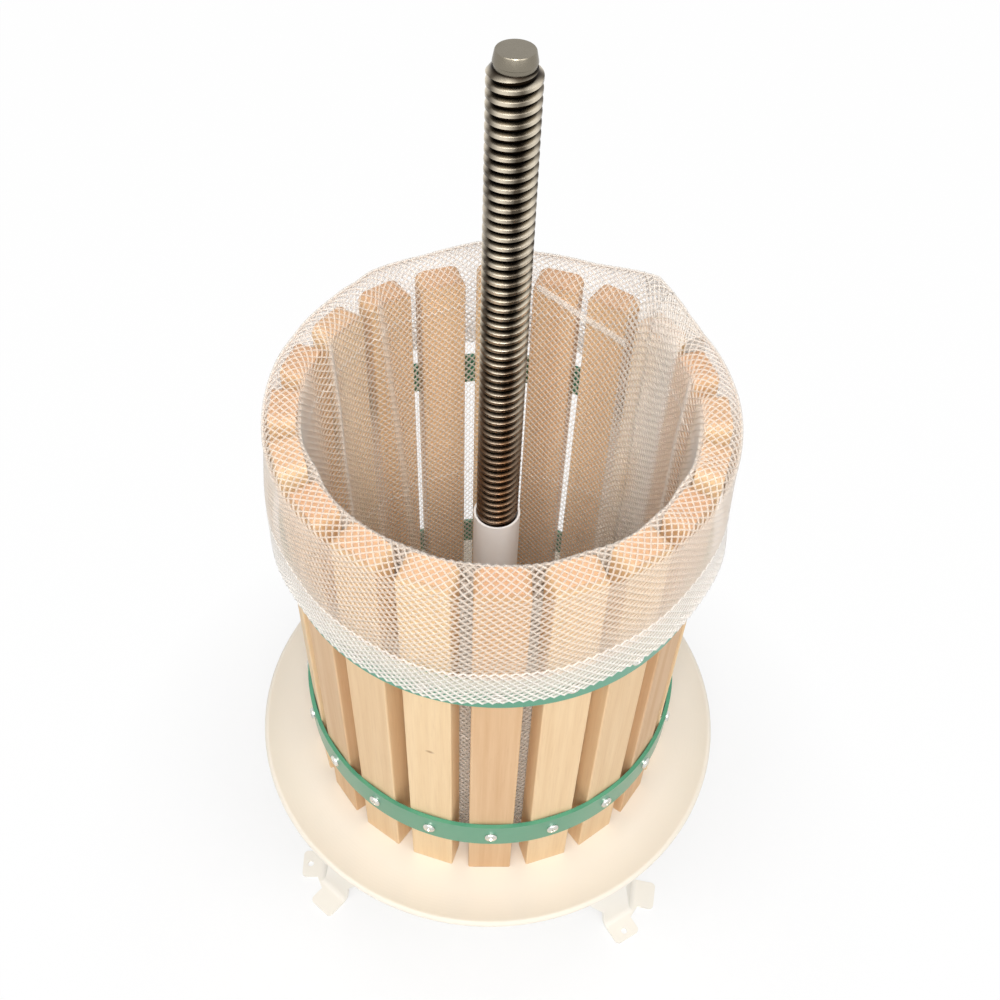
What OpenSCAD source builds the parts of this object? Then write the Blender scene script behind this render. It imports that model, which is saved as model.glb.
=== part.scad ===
// Fruit press with a slatted basket: a dished tray on three folded legs carries an upright
// threaded spindle, and a hooped basket with a net bag stands round the spindle on the tray.
// Millimetres, +Z up, origin on the floor under the spindle, front of the press towards -Y.

/* [Basket] */
// Radius of the staves' flat outer faces
basket_r = 121.3; // [90:0.1:180]
// Width of one stave
stave_w = 27.4; // [18:0.1:40]
// Thickness of one stave
stave_t = 15; // [10:0.5:22]
// Length of one stave
stave_l = 306; // [240:1:420]
// Least juice gap between the staves' inner edges
stave_gap = 5.5; // [3:0.1:10]
// Radius on the staves' long edges
stave_edge_r = 1; // [0.5:0.1:4]
// Radius on the staves' top corners
stave_corner_r = 6; // [1:0.5:8]
// Turn of the first stave from the front, in degrees
stave_turn = 2.3; // [-9:0.1:9]

/* [Hoops] */
// Height of a hoop
hoop_h = 22.3; // [18:0.1:45]
// Thickness of the hoop steel
hoop_t = 2.5; // [1.5:0.1:4]
// Height of the lower hoop's bottom edge above the stave ends
lower_hoop_rise = 43.1; // [15:0.1:80]
// Drop of the upper hoop's top edge below the stave tops
upper_hoop_drop = 73.7; // [20:0.1:90]

/* [Screws] */
// Diameter of a hoop screw's head
screw_head_d = 8; // [6:0.1:11]
// Height of a hoop screw's head
screw_head_h = 2.2; // [1.5:0.1:3.5]
// Diameter of a hoop screw's shank
screw_d = 3.5; // [2.5:0.1:5]
// Length of a hoop screw under its head
screw_l = 13; // [8:0.5:15]

/* [Tray] */
// Thickness of the tray sheet
tray_t = 1.5; // [1:0.1:3]
// Flat floor left between the staves and the dish's curve
channel_w = 14.7; // [10:0.1:30]
// Width of the dish's rising curve
dish_w = 22.4; // [12:0.1:40]
// Height of the dish's edge above its floor
dish_h = 4.5; // [3:0.1:14]
// Thickness of the rolled rim
rim_d = 4.6; // [3.5:0.1:8]

/* [Spout] */
// Clear width of the juice spout
spout_w = 26; // [16:0.5:40]
// Height of the spout's side walls above its floor
spout_h = 9; // [8:0.5:16]
// Reach of the spout past the rim
spout_reach = 20; // [10:1:40]
// Fall of the spout, in degrees
spout_fall = 7; // [2:0.5:12]
// Turn of the spout from the front, in degrees
spout_turn = -126; // [-150:0.5:-100]

/* [Legs] */
// Height of the tray's underside above the floor
leg_h = 174.5; // [120:0.5:240]
// Thickness of the leg sheet
leg_t = 2; // [1.5:0.1:3]
// Angle that each wall turns back from the leg's outer crease, in degrees
leg_fold = 24; // [10:1:40]
// Width of each wall of a leg
leg_wall_w = 35; // [28:0.5:50]
// How far inside the dish's curve the crease meets the tray
leg_top_inset = 31; // [20:1:50]
// How far inside the rim's edge the crease meets the floor
foot_inset = 19.1; // [4:0.1:30]
// Height of the narrow part of a wall above its foot fold
neck_h = 11; // [4:1:20]
// Height over which a wall narrows to that part
shoulder_h = 24; // [8:1:40]
// Turn of the legs from even spacing about the front, in degrees
leg_turn = -2.9; // [-10:0.1:10]

/* [Foot tabs] */
// Width of a foot tab
tab_w = 21.6; // [14:0.1:26]
// Length of a foot tab from its fold
tab_l = 18.8; // [14:0.1:26]
// Distance from the crease to the tab along the fold
tab_notch = 3; // [2:0.1:6]
// How far out from the crease's foot the notch between the two tabs starts
notch_start = 4.5; // [4.3:0.1:8]
// Radius on a tab's corners
tab_corner_r = 3.5; // [1:0.1:5]
// Inside radius of the fold above a tab
tab_bend_r = 5; // [1.5:0.1:5]
// Diameter of the fixing hole in one tab of each leg
foot_hole_d = 4.8; // [3:0.1:6]
// Distance from a tab's end to the fixing hole
foot_hole_edge = 6.2; // [5:0.1:6.5]

/* [Spindle] */
// Outside diameter of the spindle's trapezoidal thread
thread_d = 24; // [18:0.5:36]
// Height of the spindle above the tray floor
spindle_h = 502.5; // [420:0.1:640]
// Diameter of the plain shank inside the sleeve
shank_d = 22; // [16:0.5:34]
// Diameter of the turned nose's flat top
nose_top_d = 17; // [10:0.5:18]
// Diameter at the foot of the nose
nose_foot_d = 19; // [18.5:0.1:24]
// Height of the nose
nose_h = 4.8; // [4:0.1:14]
// Diameter of the turned-down tail that passes through the tray
tail_d = 16; // [10:0.5:16]

/* [Spindle fittings] */
// Height of the sleeve round the spindle's foot
sleeve_h = 221; // [120:1:300]
// Wall of the sleeve
sleeve_t = 1.3; // [0.8:0.1:3]
// Diameter of the washer under the tray
washer_d = 50; // [32:1:80]
// Thickness of the washer under the tray
washer_t = 3; // [2:0.5:6]
// Width across the flats of the nut under the tray
nut_af = 24; // [20:0.5:41]
// Height of the nut under the tray
nut_h = 13; // [8:0.5:22]
// Tail left showing below the nut
tail_end = 4; // [1:0.5:10]

/* [Net bag] */
// Thickness of the net at its knots
net_t = 1; // [0.6:0.1:2]
// Length of the skirt hanging below the stave tops
skirt_l = 87.3; // [70:0.1:180]
// Rise of the net's fold over the stave tops
fold_rise = 5; // [3:0.5:12]
// Radius where the bag's wall turns into its bottom
bag_corner_r = 8; // [3:0.5:20]
// Gap between the bag's bottom hole and the sleeve
bag_hole_gap = 1.5; // [0.5:0.1:6]

/* [Clearances] */
// Gap under the basket and the bag where they stand on the tray
seat_clear = 0.3; // [0.2:0.05:0.6]
// Gap between the net and what it covers
net_clear = 0.4; // [0.3:0.05:1]
// Gap between the hoops and the staves
hoop_clear = 0.1; // [0.05:0.01:0.3]
// Radial gap round the screws and the spindle's tail
bore_clear = 0.1; // [0.05:0.01:0.3]
// Radial gap between the sleeve and the spindle's thread
sleeve_clear = 0.3; // [0.2:0.05:1]
// Gap between the sleeve's top and the start of the thread
thread_clear = 0.5; // [0.2:0.1:3]

/* [Hidden] */
$fn = 96;
arc_steps = 10;
leg_count = 3;
rim_curl = 250;
// Length that passes right through any piece, and how far a cut runs past a face
reach = 1000;
over = 1;

// Heights
tray_z = leg_h + tray_t;
stave_z = tray_z + seat_clear;
stave_top_z = stave_z + stave_l;
lower_hoop_z = stave_z + lower_hoop_rise;
upper_hoop_z = stave_top_z - upper_hoop_drop - hoop_h;
sleeve_top_z = tray_z + sleeve_h;
spindle_top_z = tray_z + spindle_h;

// Basket
stave_in_r = basket_r - stave_t;
stave_count = floor(2 * PI * stave_in_r / (stave_w + stave_gap));
stave_step = 360 / stave_count;
stave_flat = stave_w / 2 - stave_edge_r;
stave_far_r = norm([stave_flat, basket_r - stave_edge_r]) + stave_edge_r;
hoop_in_r = stave_far_r + hoop_clear;
hoop_out_r = hoop_in_r + hoop_t;
screw_out_r = hoop_out_r + screw_head_h;

// Tray: the dish's curve is an arc that leaves the floor level
floor_r = basket_r + channel_w;
dish_r = floor_r + dish_w;
dish_arc_r = (pow(dish_w, 2) + pow(dish_h, 2)) / (2 * dish_h);
dish_arc_angle = asin(dish_w / dish_arc_r);
rim_r = dish_r + rim_d / 2 * sin(dish_arc_angle);
rim_z = tray_z + dish_h - rim_d / 2 * cos(dish_arc_angle);
rim_curl_r = (rim_d - tray_t) / 2;
tray_r = rim_r + rim_d / 2;
tail_bore_r = tail_d / 2 + bore_clear;

// Spout: it leaves the tray where the dish starts to rise
spout_out_w = spout_w + 2 * tray_t;

// Legs
foot_r = tray_r - foot_inset;
leg_top_r = floor_r - leg_top_inset;
wall_tilt = atan((foot_r - leg_top_r) / leg_h * cos(leg_fold));
bend_swing = 90 - wall_tilt;
bend_u = tab_bend_r / tan((180 - bend_swing) / 2);
bend_top_z = leg_t + tab_bend_r;
crease_run = tan(wall_tilt) * tan(leg_fold);
foot_hole_r = foot_hole_d / 2;

// Spindle
thread_r = thread_d / 2;
sleeve_in_r = thread_r + sleeve_clear;
sleeve_out_r = sleeve_in_r + sleeve_t;
thread_start_z = sleeve_top_z + thread_clear;
nose_z = spindle_top_z - nose_h;
thread_top_z = nose_z - (thread_r - nose_foot_d / 2);
washer_z = leg_h - washer_t;
nut_z = washer_z - nut_h;
tail_z = nut_z - tail_end;

// Net bag: the middle line of the net is carried half its thickness clear of the basket
net_gap = net_clear + net_t / 2;
liner_r = stave_in_r - net_gap;
bag_z = tray_z + seat_clear + net_t / 2;
fold_z = stave_top_z + net_gap;
skirt_top_r = stave_far_r + net_gap;
skirt_r = screw_out_r + net_gap;
skirt_turn_z = upper_hoop_z + hoop_h + net_gap;
hem_z = stave_top_z - skirt_l;
bag_hole_r = sleeve_out_r + bag_hole_gap;
fold_half = (skirt_top_r - liner_r) / 2;
fold_arc_r = (pow(fold_half, 2) + pow(fold_rise, 2)) / (2 * fold_rise);
fold_arc_angle = asin(fold_half / fold_arc_r);

function two_digits(i) = str(i < 10 ? "0" : "", i);
function stave_name(i) = str("stave_", two_digits(i));
STAVES = [for (i = [1 : stave_count]) stave_name(i)];
LEGS = ["leg_right", "leg_rear", "leg_left"];
FITTED = ["tray", "spout", "spindle", "spindle_sleeve", "base_washer", "base_nut"];
HOOPED = ["lower_hoop", "upper_hoop", "lower_hoop_screws", "upper_hoop_screws", "net_bag"];

cream = [0.95, 0.90, 0.84];
beech = [0.91, 0.77, 0.59];
hoop_green = [0.29, 0.58, 0.46];
steel = [0.45, 0.43, 0.40];
zinc = [0.80, 0.80, 0.78];
net_white = [0.96, 0.93, 0.91];

// Points of an arc from angle a to angle b, and the same without its first point
function arc(centre, r, a, b, first = 0) =
    [for (i = [first : arc_steps]) let (turn = a + (b - a) * i / arc_steps) centre + r * [cos(turn), sin(turn)]];
function arc_on(centre, r, a, b) = arc(centre, r, a, b, 1);

// Unit normal to the left of a path at point i
function path_normal(p, i) =
    let (d = p[min(i + 1, len(p) - 1)] - p[max(i - 1, 0)])
    [-d[1], d[0]] / norm(d);

// A path moved sideways by d, and the closed band of thickness t about a path
function beside(p, d) = [for (i = [0 : len(p) - 1]) p[i] + d * path_normal(p, i)];
function reversed(p) = [for (i = [len(p) - 1 : -1 : 0]) p[i]];
function band(p, t) = concat(beside(p, t / 2), reversed(beside(p, -t / 2)));

// Turns a piece from +X to an angle measured from the front of the press
module facing(angle) {
    rotate([0, 0, angle - 90]) children();
}

// Rectangle with rounded corners, centred
module rounded_rectangle(size, r) {
    square([size[0] - 2 * r, size[1]], center = true);
    square([size[0], size[1] - 2 * r], center = true);
    for (x = [-1, 1], y = [-1, 1])
        translate([x * (size[0] / 2 - r), y * (size[1] / 2 - r)]) circle(r);
}

// What is cut away to round a square corner at the origin, with its sides along -X and -Y
module corner_cut(r, h) {
    translate([0, 0, -h / 2])
        linear_extrude(h)
            difference() {
                translate([-r, -r]) square(2 * r);
                translate([-r, -r]) circle(r);
            }
}

// Dish with a level floor, an upward curve and a rolled rim, open where the spout leaves it
module tray() {
    dish = concat(
        [[tail_bore_r, tray_z - tray_t / 2]],
        arc([floor_r, tray_z + dish_arc_r], dish_arc_r + tray_t / 2, -90, dish_arc_angle - 90),
        arc_on([rim_r, rim_z], rim_curl_r, dish_arc_angle + 90, dish_arc_angle + 90 - rim_curl)
    );
    color(cream)
        difference() {
            rotate_extrude() polygon(band(dish, tray_t));
            facing(spout_turn) translate([floor_r, -spout_out_w / 2, 0]) cube([reach, spout_out_w, reach]);
        }
}

// Open trough that carries the juice over the rim
module spout() {
    trough_h = spout_h + tray_t;
    inside_l = tray_r - floor_r;
    color(cream)
        facing(spout_turn)
            intersection() {
                translate([floor_r, 0, leg_h])
                    rotate([0, spout_fall, 0])
                        difference() {
                            translate([-trough_h, -spout_out_w / 2, 0])
                                cube([trough_h + inside_l + spout_reach, spout_out_w, trough_h]);
                            translate([-reach / 2, -spout_w / 2, tray_t]) cube([reach, spout_w, reach]);
                        }
                translate([floor_r, -reach / 2, 0]) cube([reach, reach, reach]);
            }
}

// One wall of a leg with its foot tab, folded from sheet: X out from the fold, Y along it from the crease
module leg_wall(holed) {
    bend = [bend_u, bend_top_z];
    wall_run = leg_h / cos(wall_tilt) + leg_t;
    up = [-sin(wall_tilt), cos(wall_tilt)];
    near_arc = arc(bend, tab_bend_r, 270, 270 - bend_swing);
    far_arc = arc(bend, tab_bend_r + leg_t, 270 - bend_swing, 270);
    section = concat(
        [[tab_l, leg_t]],
        near_arc,
        [near_arc[arc_steps] + wall_run * up, far_arc[0] + wall_run * up],
        far_arc,
        [[tab_l, 0]]
    );
    tab_far = tab_notch + tab_w;
    neck_z = bend_top_z + neck_h;
    shoulder_z = neck_z + shoulder_h;
    wall_far = leg_wall_w + crease_run * leg_h;
    outline = [
        [-leg_wall_w, -leg_t],
        [tab_far, -leg_t],
        [tab_far, neck_z],
        [leg_wall_w + crease_run * shoulder_z, shoulder_z],
        [wall_far, leg_h],
        [-leg_wall_w, leg_h]
    ];
    notch_side = [(notch_start + tab_notch * sin(leg_fold)) / cos(leg_fold), tab_notch];
    notch = [
        notch_side,
        [2 * tab_l, tab_notch],
        [2 * tab_l, -2 * tab_l],
        notch_side - 2 * tab_l * [sin(leg_fold), cos(leg_fold)]
    ];
    difference() {
        intersection() {
            translate([0, wall_far, 0])
                rotate([90, 0, 0]) linear_extrude(wall_far + leg_wall_w) polygon(section);
            translate([-reach / 2, 0, 0]) rotate([90, 0, 90]) linear_extrude(reach) polygon(outline);
        }
        translate([0, 0, -leg_t]) linear_extrude(3 * leg_t) polygon(notch);
        translate([tab_l, tab_far, 0]) corner_cut(tab_corner_r, 4 * leg_t);
        translate([tab_l, tab_notch, 0]) mirror([0, 1, 0]) corner_cut(tab_corner_r, 4 * leg_t);
        if (holed)
            translate([tab_l - foot_hole_edge, tab_notch + tab_w / 2, -leg_t])
                cylinder(r = foot_hole_r, h = 4 * leg_t);
    }
}

// The half of a leg on the +Y side of its crease
module leg_half(holed) {
    intersection() {
        translate([foot_r, 0, 0]) rotate([0, 0, leg_fold]) leg_wall(holed);
        translate([0, 0, -leg_t]) cube([reach, reach, reach]);
    }
}

// Splayed leg of two walls that meet at an outer crease, with a fixing hole in its first tab
module leg(i) {
    color(cream)
        facing(leg_turn + 360 / leg_count * (i + 0.5)) {
            leg_half(false);
            mirror([0, 1, 0]) leg_half(true);
        }
}

// Upright screw with a turned nose, a plain shank inside the sleeve and a tail for the nut
module spindle() {
    color(steel)
        rotate_extrude()
            polygon([
                [0, tail_z],
                [tail_d / 2, tail_z],
                [tail_d / 2, tray_z],
                [shank_d / 2, tray_z],
                [shank_d / 2, thread_start_z],
                [thread_r, thread_start_z],
                [thread_r, thread_top_z],
                [nose_foot_d / 2, nose_z],
                [nose_top_d / 2, spindle_top_z],
                [0, spindle_top_z]
            ]);
}

// Tube standing round the spindle's foot
module spindle_sleeve() {
    color(cream)
        translate([0, 0, tray_z])
            difference() {
                cylinder(r = sleeve_out_r, h = sleeve_h);
                translate([0, 0, -over]) cylinder(r = sleeve_in_r, h = sleeve_h + 2 * over);
            }
}

// Wide washer under the tray
module base_washer() {
    color(zinc)
        translate([0, 0, washer_z])
            difference() {
                cylinder(d = washer_d, h = washer_t);
                translate([0, 0, -over]) cylinder(r = tail_bore_r, h = washer_t + 2 * over);
            }
}

// Hexagon nut that draws the spindle's shoulder down onto the tray
module base_nut() {
    color(zinc)
        translate([0, 0, nut_z])
            difference() {
                cylinder(d = nut_af / cos(30), h = nut_h, $fn = 6);
                translate([0, 0, -over]) cylinder(r = tail_bore_r, h = nut_h + 2 * over);
            }
}

// Turns a piece to stave i of the basket
module at_stave(i) {
    facing(stave_turn + stave_step * (i - 1)) children();
}

// Height of a hoop's screws above the floor
function screw_z(hoop_z) = hoop_z + hoop_h / 2;

// Beech slat with rounded long edges, rounded top corners and a pilot hole for each hoop screw
module stave(i) {
    pilot_l = screw_l + bore_clear;
    color(beech)
        at_stave(i)
            difference() {
                intersection() {
                    translate([basket_r - stave_t / 2, 0, stave_z])
                        linear_extrude(stave_l) rounded_rectangle([stave_t, stave_w], stave_edge_r);
                    translate([0, 0, stave_z])
                        rotate([90, 0, 90])
                            linear_extrude(reach) {
                                translate([-stave_w / 2, 0]) square([stave_w, stave_l - stave_corner_r]);
                                translate([stave_corner_r - stave_w / 2, 0])
                                    square([stave_w - 2 * stave_corner_r, stave_l]);
                                for (side = [-1, 1])
                                    translate([side * (stave_w / 2 - stave_corner_r), stave_l - stave_corner_r])
                                        circle(stave_corner_r);
                            }
                }
                for (z = [screw_z(lower_hoop_z), screw_z(upper_hoop_z)])
                    translate([hoop_out_r - pilot_l, 0, z])
                        rotate([0, 90, 0]) cylinder(r = screw_d / 2 + bore_clear, h = pilot_l);
            }
}

// Flat steel hoop drilled for one screw at each stave
module hoop(z) {
    color(hoop_green)
        difference() {
            translate([0, 0, z])
                difference() {
                    cylinder(r = hoop_out_r, h = hoop_h);
                    translate([0, 0, -over]) cylinder(r = hoop_in_r, h = hoop_h + 2 * over);
                }
            for (i = [1 : stave_count])
                at_stave(i)
                    translate([stave_in_r, 0, screw_z(z)])
                        rotate([0, 90, 0]) cylinder(r = screw_d / 2 + bore_clear, h = reach);
        }
}

module lower_hoop() {
    hoop(lower_hoop_z);
}

module upper_hoop() {
    hoop(upper_hoop_z);
}

// Pan-headed pointed screw along +X, with the face under its head at the origin
module hoop_screw() {
    head_r = screw_head_d / 2;
    head_edge = screw_head_h / 2;
    rotate([0, 90, 0])
        rotate_extrude()
            polygon([
                [0, -screw_l],
                [screw_d / 2, screw_d - screw_l],
                [screw_d / 2, 0],
                [head_r, 0],
                [head_r, head_edge],
                [head_r - head_edge, screw_head_h],
                [0, screw_head_h]
            ]);
}

// One screw through the hoop into each stave
module hoop_screws(z) {
    color(zinc)
        for (i = [1 : stave_count])
            at_stave(i) translate([hoop_out_r, 0, screw_z(z)]) hoop_screw();
}

module lower_hoop_screws() {
    hoop_screws(lower_hoop_z);
}

module upper_hoop_screws() {
    hoop_screws(upper_hoop_z);
}

// Net liner with a holed bottom, folded out over the staves into a skirt that covers the upper hoop
module net_bag() {
    fold_centre = [liner_r + fold_half, fold_z + fold_rise - fold_arc_r];
    path = concat(
        [[bag_hole_r, bag_z]],
        arc([liner_r - bag_corner_r, bag_z + bag_corner_r], bag_corner_r, -90, 0),
        arc(fold_centre, fold_arc_r, 90 + fold_arc_angle, 90 - fold_arc_angle),
        [[skirt_r, skirt_turn_z], [skirt_r, hem_z]]
    );
    color(net_white) rotate_extrude() polygon(band(path, net_t));
}

tray();
spout();
spindle();
spindle_sleeve();
base_washer();
base_nut();
for (i = [0 : leg_count - 1]) leg(i);
for (i = [1 : stave_count]) stave(i);
lower_hoop();
upper_hoop();
lower_hoop_screws();
upper_hoop_screws();
net_bag();
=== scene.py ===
import math

import bmesh
import bpy
import numpy as np
from mathutils import Matrix, Vector


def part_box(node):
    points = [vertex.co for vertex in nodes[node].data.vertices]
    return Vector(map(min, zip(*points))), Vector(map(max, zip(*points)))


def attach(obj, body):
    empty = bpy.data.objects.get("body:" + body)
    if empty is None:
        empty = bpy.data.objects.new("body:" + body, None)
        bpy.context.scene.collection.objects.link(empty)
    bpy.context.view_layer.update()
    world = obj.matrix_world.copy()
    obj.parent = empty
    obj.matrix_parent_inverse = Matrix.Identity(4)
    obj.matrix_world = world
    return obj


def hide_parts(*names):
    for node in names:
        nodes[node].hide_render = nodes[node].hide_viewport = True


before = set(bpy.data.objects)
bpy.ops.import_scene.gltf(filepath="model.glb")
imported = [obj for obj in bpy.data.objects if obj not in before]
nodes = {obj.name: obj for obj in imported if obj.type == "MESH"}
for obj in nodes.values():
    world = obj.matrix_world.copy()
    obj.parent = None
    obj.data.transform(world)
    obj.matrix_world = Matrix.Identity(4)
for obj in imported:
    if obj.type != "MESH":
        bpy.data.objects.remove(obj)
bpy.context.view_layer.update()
MM = 0.001
TURN = 2 * math.pi
JOIN = 0.001 * MM

# Camera, fitted to the photograph's frame
CAMERA_PLACE = Vector((1.5, -423.3, 896.2)) * MM
CAMERA_TILT = math.radians(40.87)
CAMERA_ROLL = math.radians(2.51)
CAMERA_LENS = 40.39
SENSOR_WIDTH = 36.0
CLIP_START = 0.01

# Lamps: name, place, size and power
LAMPS = (
    ("front_lamp", (0.0, -1.05, 1.60), 0.6, 16),
    ("left_lamp", (-0.75, -0.75, 1.50), 0.6, 4.2),
    ("right_lamp", (0.75, -0.75, 1.50), 0.6, 4.8),
    ("top_lamp", (0.0, -0.1, 1.95), 1.0, 4.2),
)
LAMP_AIM = (0, 0, 0.38)
WORLD_LEVEL = 0.32
FLOOR_HALF = 6.0
SHADOW_NEAR = 0.15
SHADOW_FAR = 0.34
WHITE_NEAR = 0.55
WHITE_FAR = 0.985

# Thread on the spindle
THREAD_PITCH = 5.03 * MM
THREAD_DEPTH = 2.75 * MM
CREST_SHARE = 0.40
ROOT_SHARE = 0.30
CREST_ROUND = 0.25 * MM
CREST_EDGE = 0.05
THREAD_GAP = 0.5 * MM
TURN_STEPS = 48
NOSE_H = 4.8 * MM
NOSE_FOOT_R = 9.5 * MM
NOSE_TOP_R = 8.5 * MM
NOSE_CHAMFER = 0.4 * MM
NOSE_EDGE = 0.1 * MM
NECK_H = 2.25 * MM
NECK_STEP = 0.5 * MM
RUNOUT_SLOPE = 1.2
SHANK_R = 11.0 * MM
SHANK_LAP = 0.2 * MM
TAIL_R = 8.0 * MM
TAIL_CHAMFER = 0.8 * MM
TRAY_FLOOR_Z = 176.0 * MM
SPINDLE_SHARP = math.radians(30)
# The thread grows darker and browner towards its lower end, over this length above the sleeve
LOW_DARK_L = 150.0 * MM
LOW_DARK_DEPTH = 0.85
# Painted reflection on the thread: how many light and dark stripes go round it, their turn and their
# strength
REFLECTION_STRIPES = 5.0
STRIPE_TURN = 1.75
STRIPE_DEPTH = 0.5

# Screw heads on the hoops
HEAD_R = 4.0 * MM
HEAD_H = 2.2 * MM
CROSS_REACH = 1.75 * MM
CROSS_HALF = 0.5 * MM
CROSS_DEPTH = 1.3 * MM
SCREW_R = 1.75 * MM
SCREW_L = 13.0 * MM
HEAD_PROFILE = ((0.78, 0.10), (0.93, 0.32), (1.0, 0.62), (0.98, 1.0), (SCREW_R / HEAD_R, 1.0))
FACE_R = HEAD_R * 0.55
RECESS_TAPER = 0.55
RECESS_LIP = 0.08
POINT_START = 0.8
POINT_SIZE = 0.15
SCREW_SPIN = 2.4
SCREW_SHARP = math.radians(40)

# Wood of the staves
TONE_STEP = 2.2
TONE_START = -0.25
# Darker end grain at the stave tops, with painted shade of the net's fold on the top of every face: its
# height and strength
END_GRAIN_AND_SHADE_H = 4.0 * MM
END_GRAIN_AND_SHADE_DEPTH = 0.6
KNOT_DEPTH = 0.7
KNOT_ANGLE = -15.3
KNOT_Z = 322.0 * MM
KNOT_SHAPE = (1 / (3.2 * MM), 1 / (3.2 * MM), 1 / (1.8 * MM))

# Net bag
CELLS_ROUND = 158
CELL = 4.62 * MM
STRAND_L = CELL / math.sqrt(2)
STRAND = 1.55 * MM
LAYER_STRAND = 1.2 * MM
LINER_R = 105.4 * MM
SKIRT_R = 127.6 * MM
FOLD_R = 124.3 * MM
BASE_CORNER_R = 8.0 * MM
FOLD_SIDE_DROP = 4.3 * MM
FOLD_RISE = 1.2 * MM
TENT_RISE = 16.0 * MM
HEM_L = 64.5 * MM
HUNG_L = 45.0 * MM
SKIRT_TWIST = 0.21
HEM_ROWS = 7
YARN_COVER = 0.54
HEM_COVER = 0.73
LINER_SHADE = 0.15
SKIRT_SHADE = 0.48
SHADE_STEP = 8.0 * MM
LAYER_GAP = 1.3 * MM
HEM_GAP = 0.4 * MM
CREASE_STRAND = 1.6 * MM
SEAM_ANGLE = math.radians(129.4)
LAP_CELLS = 4
BAND_CELLS = 6
HOLE_R = 17.0 * MM
BINDING_R = 1.0 * MM
STITCH = 2.4 * MM
STITCH_PRESS = 0.78
BINDING_SIDES = 10
BINDING_LIFT = 0.4 * MM
BASE_SEAM_OUT = 0.3 * MM
HOLE_EDGE_OUT = 0.5 * MM
FLOOR_LIFT = 0.6 * MM
FLECK_DEPTH = 0.12
CREASE_HALF = 0.9
SEAM_SHIFT = 0.3
WIDEST_CELL = 0.85
CORNER_RINGS = 6
WALL_RINGS = 60
FOLD_RINGS = 30
FLAT_FOLD = 4.0
TENT_SHARPER = 2.2
FOOT_DEPTH = 0.1
FOLDS_GROW = 0.55
FOLDS_FADE = 0.12
LINER_RIPPLE = 0.9 * MM
SKIRT_RIPPLE = 0.4 * MM
NET_EDGE = 1e-6


# Places taken from the frame
def angle_of(node):
    """The angle of a node's middle round the spindle, from the front towards the right."""
    low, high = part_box(node)
    middle = (low + high) / 2
    return math.atan2(middle.x, -middle.y)


def widest(node):
    """How far a node reaches from the spindle's axis."""
    return max(math.hypot(v.co.x, v.co.y) for v in nodes[node].data.vertices)


STAVES = sorted(n for n in nodes if n.startswith("stave_"))
LEGS = sorted(n for n in nodes if n.startswith("leg_"))
HOOPS = ("lower_hoop", "upper_hoop")
SPINDLE_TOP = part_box("spindle")[1].z
SPINDLE_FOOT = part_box("spindle")[0].z
THREAD_R = widest("spindle")
SLEEVE_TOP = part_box("spindle_sleeve")[1].z
STAVE_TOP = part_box(STAVES[0])[1].z
BAG_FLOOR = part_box("net_bag")[0].z


# Materials
def paint(red, green, blue):
    """A colour given in 0 to 255 screen values, on the renderer's linear scale."""
    shares = [c / 255 for c in (red, green, blue)]
    linear = [c / 12.92 if c <= 0.04045 else ((c + 0.055) / 1.055) ** 2.4 for c in shares]
    return (*linear, 1.0)


def feed(tree, socket, value):
    """Links a value to a socket, or sets it there."""
    if isinstance(value, bpy.types.NodeSocket):
        tree.links.new(value, socket)
    else:
        socket.default_value = value


def add(tree, kind, inputs=None, **settings):
    """A node of that kind, with its settings made and its inputs set or linked."""
    node = tree.nodes.new(kind)
    for key, value in settings.items():
        setattr(node, key, value)
    for key, value in (inputs or {}).items():
        feed(tree, node.inputs[key], value)
    return node


def set_shader(tree, **inputs):
    """Sets or links the inputs of a material's shader, named with underscores for spaces."""
    shader = tree.nodes["Principled BSDF"]
    for key, value in inputs.items():
        feed(tree, shader.inputs[key.replace("_", " ")], value)


def finish(name):
    """A new material and its node tree."""
    material = bpy.data.materials.new(name)
    material.use_nodes = True
    return material, material.node_tree


def math_node(tree, operation, first, second=0.0, third=0.0):
    """The output of a Math node."""
    inputs = {0: first, 1: second, 2: third}
    return add(tree, "ShaderNodeMath", inputs, operation=operation).outputs[0]


def blend_colour(tree, share, first, second):
    """The colour between two colours, at a share that may vary over the surface."""
    node = add(tree, "ShaderNodeMix", data_type="RGBA")
    for label, kind, value in (("Factor", "VALUE", share), ("A", "RGBA", first), ("B", "RGBA", second)):
        feed(tree, next(s for s in node.inputs if s.name == label and s.type == kind), value)
    return next(s for s in node.outputs if s.type == "RGBA")


def ranged(tree, value, low, high, new_low, new_high):
    """A value carried from one range to another, and held there."""
    inputs = {"Value": value, "From Min": low, "From Max": high, "To Min": new_low, "To Max": new_high}
    return add(tree, "ShaderNodeMapRange", inputs).outputs["Result"]


def object_place(tree):
    """The place of a point in the object's own coordinates."""
    return add(tree, "ShaderNodeTexCoord").outputs["Object"]


def object_noise(tree, stretch, scale, detail=2.0, roughness=0.5, place=None):
    """Noise on the object's own coordinates, stretched along its axes."""
    source = place or object_place(tree)
    mapped = add(tree, "ShaderNodeMapping", {"Vector": source, "Scale": stretch})
    inputs = {"Vector": mapped.outputs[0], "Scale": scale, "Detail": detail, "Roughness": roughness}
    return add(tree, "ShaderNodeTexNoise", inputs).outputs["Fac"]


def new_group(name, inputs, outputs):
    """An empty shader node group with named number sockets: its tree, its input and its output."""
    tree = bpy.data.node_groups.new(name, "ShaderNodeTree")
    for label, value in inputs.items():
        socket = tree.interface.new_socket(label, in_out="INPUT", socket_type="NodeSocketFloat")
        socket.default_value = value
    for label in outputs:
        tree.interface.new_socket(label, in_out="OUTPUT", socket_type="NodeSocketFloat")
    return tree, add(tree, "NodeGroupInput"), add(tree, "NodeGroupOutput")


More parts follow.
